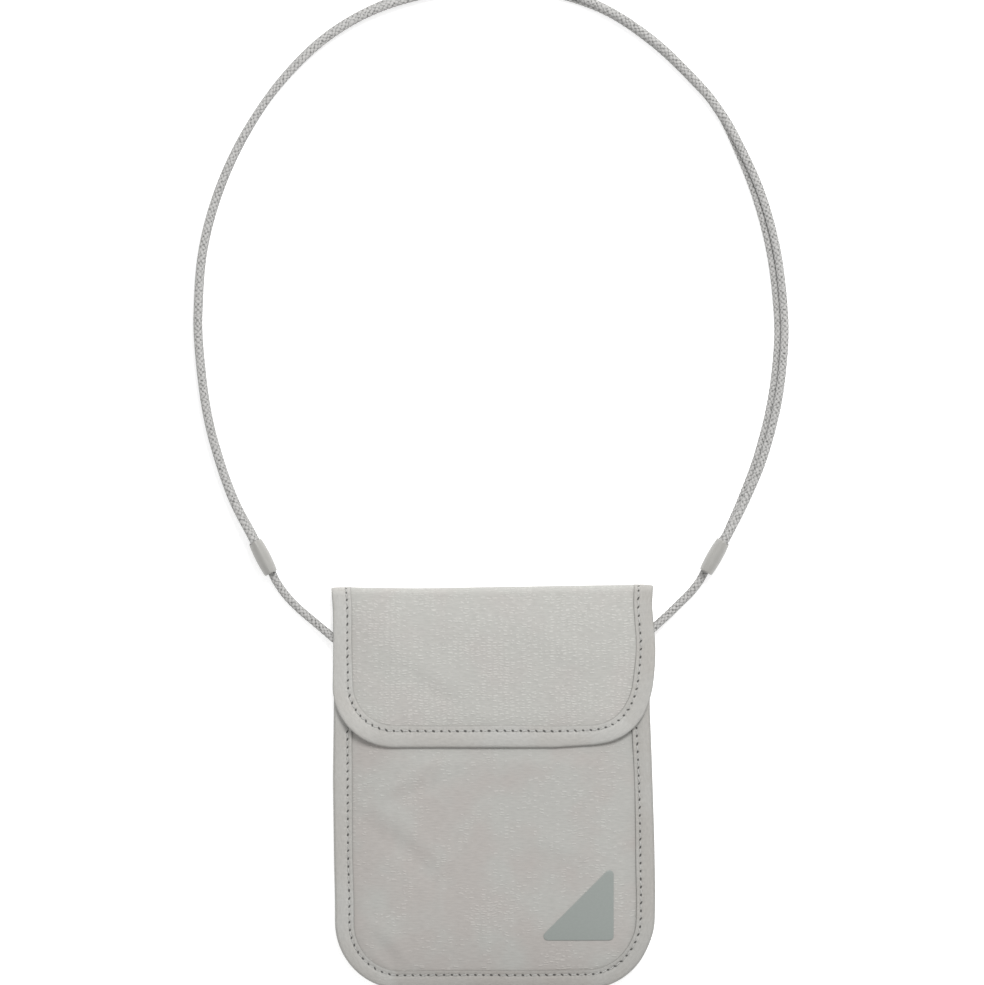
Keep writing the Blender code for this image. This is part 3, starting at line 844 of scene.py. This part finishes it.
def stitches(name, path, face, material, relief):
    """One thread segment between each two needle holes, on both faces of the band."""
    build = Builder()
    rng = np.random.default_rng(7)
    around = np.linspace(0, 2 * math.pi, 8, endpoint=False)
    share = np.linspace(0, 1, 9)
    gap = (STITCH_PITCH - STITCH_LENGTH) / 2
    arch = np.sin(math.pi * share) ** 0.5
    for k in range(int(path["s"][-1] / STITCH_PITCH)):
        s = k * STITCH_PITCH + gap + share * STITCH_LENGTH
        wide = rng.uniform(0.21, 0.28) * MM * (0.55 + 0.45 * arch)
        slant = rng.uniform(0.1, 0.5) * MM * (share - 0.5)
        for side in ("front", "back"):
            centre = 0.52 * MM * relief - STITCH_DIP + STITCH_ARCH * arch
            grid_s = np.repeat(s[:, None], 8, axis=1)
            depth = STITCH_LINE + slant[:, None] + wide[:, None] * np.cos(around)
            height = centre[:, None] + THREAD_HALF_HEIGHT * np.sin(around)
            points = on_band(path, face, side, grid_s, depth, height)
            build.rings(points, grid_s / MM, np.repeat(around[None], 9, axis=0))
    return build.object(name, material)


# The cloth simulation that puffs the panels up, at ten times their size
BILLOW_SCALE = 10
BILLOW_FRAMES = 20
BILLOW_CLOTH = {
    "vertex_group_mass": "held",
    "quality": 5,
    "tension_stiffness": 20,
    "compression_stiffness": 20,
    "bending_stiffness": 0.8,
    "use_pressure": True,
    "uniform_pressure_force": 0.6,
    "shrink_min": -0.001,
}


def billow(points, held, reach):
    """Cloth a little larger than its frame, blown up from behind: how far each point rises, within reach."""
    rows, columns = points.shape[:2]
    r, c = np.meshgrid(np.arange(rows - 1), np.arange(columns - 1), indexing="ij")
    a = (r * columns + c).reshape(-1)
    faces = np.stack([a, a + 1, a + columns + 1, a + columns], axis=-1)
    mesh = bpy.data.meshes.new("billow")
    mesh.from_pydata((points.reshape(-1, 3) * BILLOW_SCALE).tolist(), [], faces.tolist())
    obj = bpy.data.objects.new("billow", mesh)
    bpy.context.scene.collection.objects.link(obj)
    group = obj.vertex_groups.new(name="held")
    group.add(np.flatnonzero(held.reshape(-1)).tolist(), 1.0, "REPLACE")
    cloth = obj.modifiers.new("cloth", "CLOTH")
    for key, value in BILLOW_CLOTH.items():
        setattr(cloth.settings, key, value)
    cloth.settings.effector_weights.gravity = 0
    cloth.collision_settings.use_collision = False
    cloth.point_cache.frame_start = 1
    cloth.point_cache.frame_end = BILLOW_FRAMES
    scene = bpy.context.scene
    for number in range(1, BILLOW_FRAMES + 1):
        scene.frame_set(number)
    blown = obj.evaluated_get(bpy.context.evaluated_depsgraph_get())
    moved = np.empty(rows * columns * 3, np.float32)
    blown.data.vertices.foreach_get("co", moved)
    scene.frame_set(1)
    bpy.data.objects.remove(obj)
    rise = moved.reshape(rows, columns, 3)[..., 2] / BILLOW_SCALE - points[..., 2]
    return reach * np.tanh(rise / reach)


def panel_grid(rows, columns, inset, end, corner):
    """x and y of a mapped grid over an outline with round lower corners."""
    shares = np.sin(np.linspace(-1, 1, columns) * math.pi / 2 * 0.9) / math.sin(math.pi / 2 * 0.9)
    y = np.repeat(rows[:, None], columns, axis=1)
    return half_width(y, inset, end, corner) * shares, y


def wrinkles(x, y, end, high, corner, face, reach):
    """Billow of the cloth inside its seams, read at the places of a finer grid."""
    rows = np.linspace(end + BAND, high, 72)
    cx, cy = panel_grid(rows, 62, 0, end + BAND, corner - BAND + 3 * MM)
    shrink = (HALF_WIDTH - BAND) / HALF_WIDTH
    points = face("front", cx * shrink, cy, 0 * cx)
    held = np.ones(cx.shape, bool)
    held[1:-1, 1:-1] = False
    return sampled(points, billow(points, held, reach), x, y)


def sampled(points, rise, x, y):
    """Values on a mapped grid, read at other places; zero outside it."""
    rows = points[:, 0, 1]
    widths = points[:, -1, 0]
    shares = points[0, :, 0] / points[0, -1, 0]
    row = np.interp(y, rows, np.arange(len(rows)))
    half = np.interp(y, rows, widths)
    column = np.interp(np.clip(x / half, -1, 1), shares, np.arange(len(shares)))
    r0 = np.clip(row.astype(int), 0, len(rows) - 2)
    c0 = np.clip(column.astype(int), 0, len(shares) - 2)
    fr, fc = row - r0, column - c0
    value = (rise[r0, c0] * (1 - fr) + rise[r0 + 1, c0] * fr) * (1 - fc)
    value = value + (rise[r0, c0 + 1] * (1 - fr) + rise[r0 + 1, c0 + 1] * fr) * fc
    inside = (np.abs(x) < half) & (y > rows[0]) & (y < rows[-1])
    return np.where(inside, value, 0)


# Pieces of the pouch


def pouch_front(finishes):
    """The front panel with its lining and its hemmed mouth."""
    rows = rows_between(BOTTOM + PANEL_INSET, MOUTH, BODY_CORNER - PANEL_INSET, 1.3 * MM)
    x, y = panel_grid(rows, 110, PANEL_INSET, BOTTOM, BODY_CORNER)
    blown = wrinkles(x, y, BOTTOM, MOUTH, BODY_CORNER, body_face, 1.2 * MM)
    pressed = 1 - 0.75 * ease((y - FLAP_END + 6 * MM) / (8 * MM))
    hem = np.exp(-(((y - (MOUTH - HEM_WIDTH)) / (0.7 * MM)) ** 2)) * 0.25 * MM
    outer = body_face("front", x, y, (blown + creased(x, y, BODY_CREASES)) * pressed - hem)
    inner = placed("body", x, y, level("front_inner", x, y))
    obj = slab("pouch_front", outer, inner, x, y, finishes["cloth"], finishes["lining"])
    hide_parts("front_panel", "front_lining")
    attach(obj, "pouch")
    return obj


def pouch_back(finishes):
    """The back panel with its lining; flat where it lies on the ground."""
    rows = rows_between(BOTTOM + PANEL_INSET, FOLD_LINE, BODY_CORNER - PANEL_INSET, 1.5 * MM)
    x, y = panel_grid(rows, 96, PANEL_INSET, BOTTOM, BODY_CORNER)
    ripple = 0.12 * MM * (np.sin(x / 0.011 + 2 * y / 0.03) + np.sin(y / 0.017 - x / 0.021))
    ripple = np.clip(ripple, 0, None) * np.clip(edge_distance(x, y) / 0.015 - 0.5, 0, 1)
    outer = body_face("back", x, y, 0 * x)
    outer[..., 2] += ripple
    inner = placed("body", x, y, level("back_inner", x, y) + ripple)
    obj = slab("pouch_back", outer, inner, x, y, finishes["cloth"], finishes["lining"])
    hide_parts("back_panel", "back_lining")
    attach(obj, "pouch")


def card_pocket(finishes):
    """A slip pocket inside, laid on the back lining and open at its top."""
    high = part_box("card_pocket")[1]
    rows = rows_between(BOTTOM + PANEL_INSET, high[1], BODY_CORNER - PANEL_INSET, 1.5 * MM)
    x, y = panel_grid(rows, 96, PANEL_INSET, BOTTOM, BODY_CORNER)
    ground = level("back_inner", x, y)
    outer = placed("body", x, y, ground + 0.75 * MM)
    inner = placed("body", x, y, ground + 0.35 * MM)
    obj = slab("pocket_inside", outer, inner, x, y, finishes["lining"], finishes["lining"])
    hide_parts("card_pocket")
    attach(obj, "pouch")


def body_edge(finishes):
    path = edge_path(BOTTOM, BODY_CORNER, FOLD_LINE - 0.3 * MM)
    tape = band("body_tape", path, body_face, finishes["body_tape"], 1.0, 0.4)
    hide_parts("body_binding")
    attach(tape, "pouch")
    thread = stitches("body_stitches", path, body_face, finishes["thread"], 1.0)
    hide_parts("body_stitching")
    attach(thread, "pouch")


def flap(finishes):
    """The flap's cloth and lining, continuous over the fold."""
    low = FLAP_END + PANEL_INSET
    high = FOLD_LINE + FOLD_LENGTH
    rows = rows_between(low, high, FLAP_CORNER - PANEL_INSET, 1.1 * MM)
    x, w = panel_grid(rows, 110, PANEL_INSET, FLAP_END, FLAP_CORNER)
    blown = wrinkles(x, w, FLAP_END, FOLD_LINE, FLAP_CORNER, flap_face, 0.7 * MM)
    outer = flap_face("front", x, w, blown + creased(x, w, FLAP_CREASES))
    inner = flap_face("back", x, w, 0 * x)
    obj = slab("flap_cloth", outer, inner, x, w, finishes["flap_cloth"], finishes["lining"])
    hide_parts("flap_shell", "flap_lining", "flap_fold")
    bend_at_fold(obj)
    path = edge_path(FLAP_END, FLAP_CORNER, high, FLAP_BAND_SPREAD)
    tape = band("flap_tape", path, flap_face, finishes["flap_tape"], 0.6, 2.3)
    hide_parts("flap_binding")
    bend_at_fold(tape)
    thread = stitches("flap_stitches", path, flap_face, finishes["thread"], 0.6)
    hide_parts("flap_stitching")
    bend_at_fold(thread)


def bend_at_fold(obj):
    """Bakes the piece's placement into its mesh."""
    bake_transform(obj)


def rounded_triangle(low, high, radius, steps=10):
    """Outline of a triangle with its square corner at the lower right, all corners rounded."""
    corners = [Vector((low[0], low[1])), Vector((high[0], low[1])), Vector((high[0], high[1]))]
    outline = []
    for i, corner in enumerate(corners):
        before = (corners[i - 1] - corner).normalized()
        after = (corners[(i + 1) % 3] - corner).normalized()
        half = before.angle(after) / 2
        centre = corner + (before + after).normalized() * radius / math.sin(half)
        start = corner + before * radius / math.tan(half) - centre
        for turn in np.linspace(0, math.pi - 2 * half, steps):
            cos, sin = math.cos(turn), math.sin(turn)
            turned = (start.x * cos - start.y * sin, start.x * sin + start.y * cos)
            outline.append((centre.x + turned[0], centre.y + turned[1]))
    return np.array(outline)


def subdivided(outline, step):
    """The closed outline with points no farther apart than step."""
    points = []
    for a, b in zip(outline, np.roll(outline, -1, axis=0)):
        count = max(1, math.ceil(np.linalg.norm(b - a) / step))
        points += [a + (b - a) * i / count for i in range(count)]
    return np.array(points)


def badge(finishes, front):
    """A blank three-cornered film, laid on the cloth."""
    low, high = (np.array(corner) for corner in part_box("badge"))
    low[0] -= math.sqrt(2) * BADGE_ROUNDING
    high[1] += math.sqrt(2) * BADGE_ROUNDING
    outline = subdivided(rounded_triangle(low, high, BADGE_ROUNDING), 0.7 * MM)
    middle = outline.mean(axis=0)
    surface = BVHTree.FromObject(front, bpy.context.evaluated_depsgraph_get())
    down = Vector((0, 0, -1))

    def ring(share, lift):
        points = []
        for x, y in middle + (outline - middle) * share:
            points.append((x, y, surface.ray_cast(Vector((x, y, 0.1)), down)[0].z + lift))
        return points

    shares = np.concatenate([np.linspace(0.02, 0.9, 24), (0.95, 0.985)])
    rings = [ring(share, 0.02 * MM) for share in shares] + [ring(1.0, 0.04 * MM), ring(1.0, 0.2 * MM)]
    rings += [ring(share, BADGE_TOP) for share in shares[::-1]]
    points = np.array(rings)
    build = Builder()
    build.rings(points, points[..., 0] / MM, points[..., 1] / MM)
    obj = build.object("badge_film", finishes["badge"])
    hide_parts("badge")
    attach(obj, "pouch")


def pad(name, node, face, up, material, bumps):
    """A fastener patch: a thin pad with a rough pile on one face."""
    low, high = (np.array(corner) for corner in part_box(node))
    xs, ys = np.arange(low[0], high[0], 0.3 * MM), np.arange(low[1], high[1], 0.3 * MM)
    x, y = np.meshgrid(xs, ys)
    rim = np.minimum(np.minimum(x - low[0], high[0] - x), np.minimum(y - low[1], high[1] - y))
    rise = np.clip(rim / (0.5 * MM), 0.15, 1)
    rng = np.random.default_rng(4)
    rough = bumps(x, y, rng) * (rim > 0.9 * MM)
    ground = level(face, x, y)
    thickness = PATCH_THICKNESS * rise + rough
    outer = np.stack([x, y, ground + up * thickness], axis=-1)
    inner = np.stack([x, y, ground + up * 0.02 * MM], axis=-1)
    obj = slab(name, outer, inner, x, y, material, material)
    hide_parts(node)
    return obj


def fastener(finishes):
    loops = pad(
        "loop_pad", "loop_patch", "front_outer", 1, finishes["pile"],
        lambda x, y, rng: rng.uniform(0, PILE_ROUGHNESS, x.shape),
    )
    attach(loops, "pouch")
    hooks = pad(
        "hook_pad", "hook_patch", "flap_inner", -1, finishes["pile"],
        lambda x, y, rng: PILE_ROUGHNESS * (np.sin(x / (0.19 * MM)) * np.sin(y / (0.19 * MM)) > 0.2),
    )
    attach(hooks, "flap")


def bartacks(finishes):
    """Dense satin stitches over the cords' tails, on the back of the binding."""
    around = np.linspace(0, 2 * math.pi, 8, endpoint=False)
    share = np.linspace(-1, 1, 9)
    for side in ("left", "right"):
        low, high = (np.array(corner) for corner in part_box(f"{side}_bartack"))
        centre = (low + high) / 2
        way = -1 if side == "left" else 1
        turned = way * math.radians(TACK_TURN)
        along = np.array([math.cos(turned), math.sin(turned)])
        across = np.array([-along[1], along[0]])
        build = Builder()
        for step in TACK_STEPS:
            middle = centre[:2] + along * step
            xy = middle + share[:, None] * across * TACK_HALF_WIDTH
            dome = np.sqrt(1 - 0.85 * share**2)
            ring = 0.2 * MM * dome[:, None]
            x = xy[:, :1] + along[0] * ring * np.cos(around)
            y = xy[:, 1:] + along[1] * ring * np.cos(around)
            z = level("back_outer", x, y) - 0.72 * MM - 0.12 * MM * dome[:, None] + ring * np.sin(around)
            points = placed("body", x, y, np.maximum(z, 0.03 * MM))
            build.rings(points, np.repeat(share[:, None], 8, axis=1), np.repeat(around[None], 9, axis=0))
        obj = build.object(f"{side}_tack", finishes["thread"])
        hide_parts(f"{side}_bartack")
        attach(obj, "pouch")


# Cords and beads


def direction(degrees):
    return np.array([math.cos(math.radians(degrees)), math.sin(math.radians(degrees)), 0.0])


def bead_axes(side):
    """The bead's centre on the ground, its way towards the neck, and its way out of the loop."""
    bead = BEADS[side]
    along = direction(bead["towards_neck"])
    outwards = direction(bead["towards_neck"] + 90 * bead["outwards"])
    return np.array([*bead["centre"], 0.0]), along, outwards


def in_bore(side, bore, along_distance):
    """A point on the axis of a bead's through bore or blind bore."""
    centre, along, outwards = bead_axes(side)
    sideways = -BORE_OFFSET if bore == "through" else BORE_OFFSET
    height = THROUGH_BORE_HEIGHT if bore == "through" else BLIND_BORE_HEIGHT
    place = centre + along * along_distance + outwards * sideways
    place[2] = height
    return place


def smooth_curve(points, per_span=24):
    """A Catmull-Rom curve through the points."""
    p = np.asarray(points, float)
    p = np.vstack([2 * p[0] - p[1], p, 2 * p[-1] - p[-2]])
    t = np.linspace(0, 1, per_span, endpoint=False)[:, None]
    spans = []
    for a, b, c, d in zip(p, p[1:], p[2:], p[3:]):
        spans.append(
            0.5 * (2 * b + (c - a) * t + (2 * a - 5 * b + 4 * c - d) * t**2 + (3 * b - a - 3 * c + d) * t**3)
        )
    return np.vstack([*spans, p[-2:-1]])


def evenly_spaced(points, step):
    """The curve read at equal steps along it, and the steps' lengths."""
    gone = np.concatenate([[0], np.cumsum(np.linalg.norm(np.diff(points, axis=0), axis=1))])
    at = np.linspace(0, gone[-1], round(gone[-1] / step) + 1)
    return np.stack([np.interp(at, gone, points[:, axis]) for axis in range(3)], axis=1), at


def loop_strand(side):
    """Points of one strand of the doubled cord, from its own bead to the other one."""
    middle = np.array([(x, y) for x, y, _ in LOOP])
    forward = np.gradient(middle, axis=0)
    forward /= np.linalg.norm(forward, axis=1)[:, None]
    outwards = np.stack([-forward[:, 1], forward[:, 0]], axis=1)
    points = []
    for (x, y, twist), out in zip(LOOP, outwards):
        angle = math.radians(twist if side == "left" else twist + 180)
        sideways = math.cos(angle) * STRAND_PITCH / 2
        lift = abs(math.sin(angle)) * STRAND_PITCH / 2
        height = FLOOR_LINE + lift + math.sin(angle) * STRAND_PITCH / 2
        points.append((x + out[0] * sideways, y + out[1] * sideways, height))
    return points if side == "left" else points[::-1]


def cord_route(side):
    """From inside the side seam, through this side's bead, round the neck and into the other bead."""
    lead = np.array(LEADS[side])
    seam = lead[0] + (lead[0] - lead[1]) * 0.9
    through = [in_bore(side, "through", distance) for distance in STRAIGHT]
    into = [in_bore(OTHER[side], "blind", distance) for distance in (0.011, 0.004, -0.002)]
    return smooth_curve([seam, *lead, *through, *loop_strand(side), *into])


def braid_height(u, v):
    """How far the braid's carriers stand out, from -1 to 1, at u metres along and v turns round."""
    first = CARRIERS / 2 * (v + u / BRAID_LEAD)
    second = CARRIERS / 2 * (v - u / BRAID_LEAD)
    one, two = first % 1 - 0.5, second % 1 - 0.5
    odd = (np.floor(first) + np.floor(second)) % 2 > 0.5
    across, along = np.where(odd, two, one), np.where(odd, one, two)
    return np.clip(1 - (2.3 * across) ** 2 - (1.7 * along) ** 2, -1, 1)


def braided_tube(name, route, at, material):
    """A round braid along the route, with its carriers in relief."""
    tangent = np.gradient(route, axis=0)
    tangent /= np.linalg.norm(tangent, axis=1)[:, None]
    side = np.cross(tangent, (0, 0, 1))
    side /= np.linalg.norm(side, axis=1)[:, None]
    up = np.cross(side, tangent)
    places = 30
    turns = np.arange(places) / places
    u, v = np.meshgrid(at, turns, indexing="ij")
    radius = CORD_DIAMETER / 2 * (1 + 0.035 * braid_height(u, v))
    angle = 2 * math.pi * turns
    points = route[:, None] + radius[..., None] * (
        np.cos(angle)[None, :, None] * side[:, None] + np.sin(angle)[None, :, None] * up[:, None]
    )
    build = Builder()
    u_round = np.repeat(at[:, None] / MM, places + 1, axis=1)
    v_round = np.repeat(np.linspace(0, 1, places + 1)[None], len(at), axis=0)
    build.rings(points, u_round, v_round)
    return build.object(name, material)


def cords(finishes):
    """Each cord's last stretch is a piece of its own; the bead that holds that end is made with it."""
    for side in ("left", "right"):
        route, at = evenly_spaced(cord_route(side), CORD_STEP)
        split = len(at) - round(TAIL_LENGTH / CORD_STEP)
        main = braided_tube(f"{side}_strand", route[: split + 1], at[: split + 1], finishes["braid"])
        tail = braided_tube(f"{side}_strand_end", route[split:], at[split:], finishes["braid"])
        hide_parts(f"{side}_cord")
        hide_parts(f"{side}_cord")
        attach(main, "pouch")
        holder = OTHER[side]
        in_bore(holder, "blind", 0.0085)
        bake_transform(tail)
        bead = bead_piece(holder, finishes)


def tube(name, start, end, radius):
    """A plain cylinder between two points at the same height, used to cut a bore."""
    angle = np.linspace(0, 2 * math.pi, 32, endpoint=False)
    along = (end - start) / np.linalg.norm(end - start)
    side = np.array([-along[1], along[0], 0.0])
    circle = radius * (np.cos(angle)[:, None] * side + np.sin(angle)[:, None] * np.array([0.0, 0.0, 1.0]))
    rings = np.stack([start + circle, end + circle])
    build = Builder()
    build.rings(rings, rings[..., 0], rings[..., 1])
    return build.object(name)


def bead_section(wide, tall, sides=64):
    """A rounded-square section, with the low ridge of a roof along its top."""
    angle = np.linspace(0, 2 * math.pi, sides, endpoint=False)
    power = 2 / BEAD_SQUARENESS
    across = np.sign(np.cos(angle)) * np.abs(np.cos(angle)) ** power
    up = np.sign(np.sin(angle)) * np.abs(np.sin(angle)) ** power
    up = np.where(up > 0, up * (1 - 0.32 * (np.sqrt(across**2 + 0.006) - 0.077)), up)
    return wide * across, tall * up


def bead_piece(side, finishes):
    """A satin barrel with blunt, softened ends and two bores."""
    centre, _, _ = bead_axes(side)
    half = BEAD_LENGTH / 2
    soft = 0.7 * MM
    stations = [(x * (half - soft), 1.0) for x in np.linspace(-1, 1, 25)]
    for turn in np.linspace(0.25, math.pi / 2, 6):
        x, drawn = half - soft + soft * math.sin(turn), 1 - 0.11 * (1 - math.cos(turn))
        stations.append((x, drawn))
        stations.insert(0, (-x, drawn))
    rings = []
    for x, drawn in stations:
        slimming = 1 - (x / half) ** 2
        wide = drawn * (BEAD_END_WIDTH + (1 - BEAD_END_WIDTH) * slimming) * BEAD_WIDTH / 2
        tall = drawn * (BEAD_END_HEIGHT + (1 - BEAD_END_HEIGHT) * slimming) * BEAD_HEIGHT / 2
        across, up = bead_section(wide, tall)
        rings.append(np.stack([np.full_like(across, x), across, up], axis=-1))
    build = Builder()
    points = np.stack(rings)
    build.rings(points, points[..., 0] / MM, points[..., 1] / MM)
    obj = build.object(f"{side}_barrel", finishes["bead"])
    obj.location = (centre[0], centre[1], BEAD_HEIGHT / 2)
    obj.rotation_euler = (0, 0, math.radians(BEADS[side]["towards_neck"]))
    tools = [
        tube(bore, *(in_bore(side, bore, distance) for distance in cut), BORE_RADIUS)
        for bore, cut in (("through", THROUGH_CUT), ("blind", BLIND_CUT))
    ]
    for tool in tools:
        cut = obj.modifiers.new(tool.name, "BOOLEAN")
        cut.operation = "DIFFERENCE"
        cut.object = tool
    bpy.context.view_layer.update()
    carved = bpy.data.meshes.new_from_object(obj.evaluated_get(bpy.context.evaluated_depsgraph_get()))
    obj.modifiers.clear()
    obj.data = carved
    for tool in tools:
        bpy.data.objects.remove(tool)
    carved.shade_smooth()
    carved.set_sharp_from_angle(angle=math.radians(40))
    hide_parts(f"{side}_bead")
    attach(obj, f"{side}_slider")
    return obj


def finishes():
    """Every material, by what it is used for."""
    green, warm, even = (0.99, 1.0, 0.985), (0.975, 0.94, 0.925), (1.0, 1.0, 1.0)
    foot = (0.84, 0.82, 0.81)
    body_joints = ((162, (0.97, 0.97, 0.97)), (241, foot), (420, (0.87, 0.865, 0.86)))
    flap_joints = ((72, (1.06, 1.06, 1.06)), (175, (1.02, 1.02, 1.02)), (300, (0.92, 0.915, 0.91)))
    light, dark, tint = (0.46, 0.455, 0.435), (0.39, 0.386, 0.368), (0.97, 0.955, 0.945)
    return {
        "cloth": woven("pouch_cloth", (0.468, 0.46, 0.443), (0.35, 0.343, 0.33), green, warm, density=0.5),
        "flap_cloth": woven(
            "flap_cloth", (0.515, 0.505, 0.485), (0.365, 0.358, 0.343), green, (0.99, 0.975, 0.965),
            density=0.95, seed=11.0,
        ),
        "body_tape": taped("body_tape", light, dark, tint, body_joints, 1.1),
        "flap_tape": taped("flap_tape", light, dark, tint, flap_joints, 0.35),
        "lining": woven(
            "lining_cloth", (0.34, 0.34, 0.33), (0.28, 0.28, 0.27), even, even, pitch=0.4, seed=5.0,
        ),
        "thread": spun("sewing_thread", (0.58, 0.575, 0.555), (0.38, 0.375, 0.36)),
        "pile": pile("fastener_pile", (0.38, 0.38, 0.36), (0.23, 0.23, 0.22)),
        "badge": film("badge_film", (0.258, 0.281, 0.266)),
        # The braid's dark colour serves its random flecks and the painted shade between its carriers.
        "braid": braided("braided_cord", (0.455, 0.45, 0.44), (0.11, 0.11, 0.105)),
        "bead": moulded("bead_plastic", (0.345, 0.34, 0.322)),
    }


def main():
    camera()
    made = finishes()
    cords(made)
    front = pouch_front(made)
    pouch_back(made)
    card_pocket(made)
    body_edge(made)
    flap(made)
    badge(made, front)
    fastener(made)
    bartacks(made)
    studio()


main()
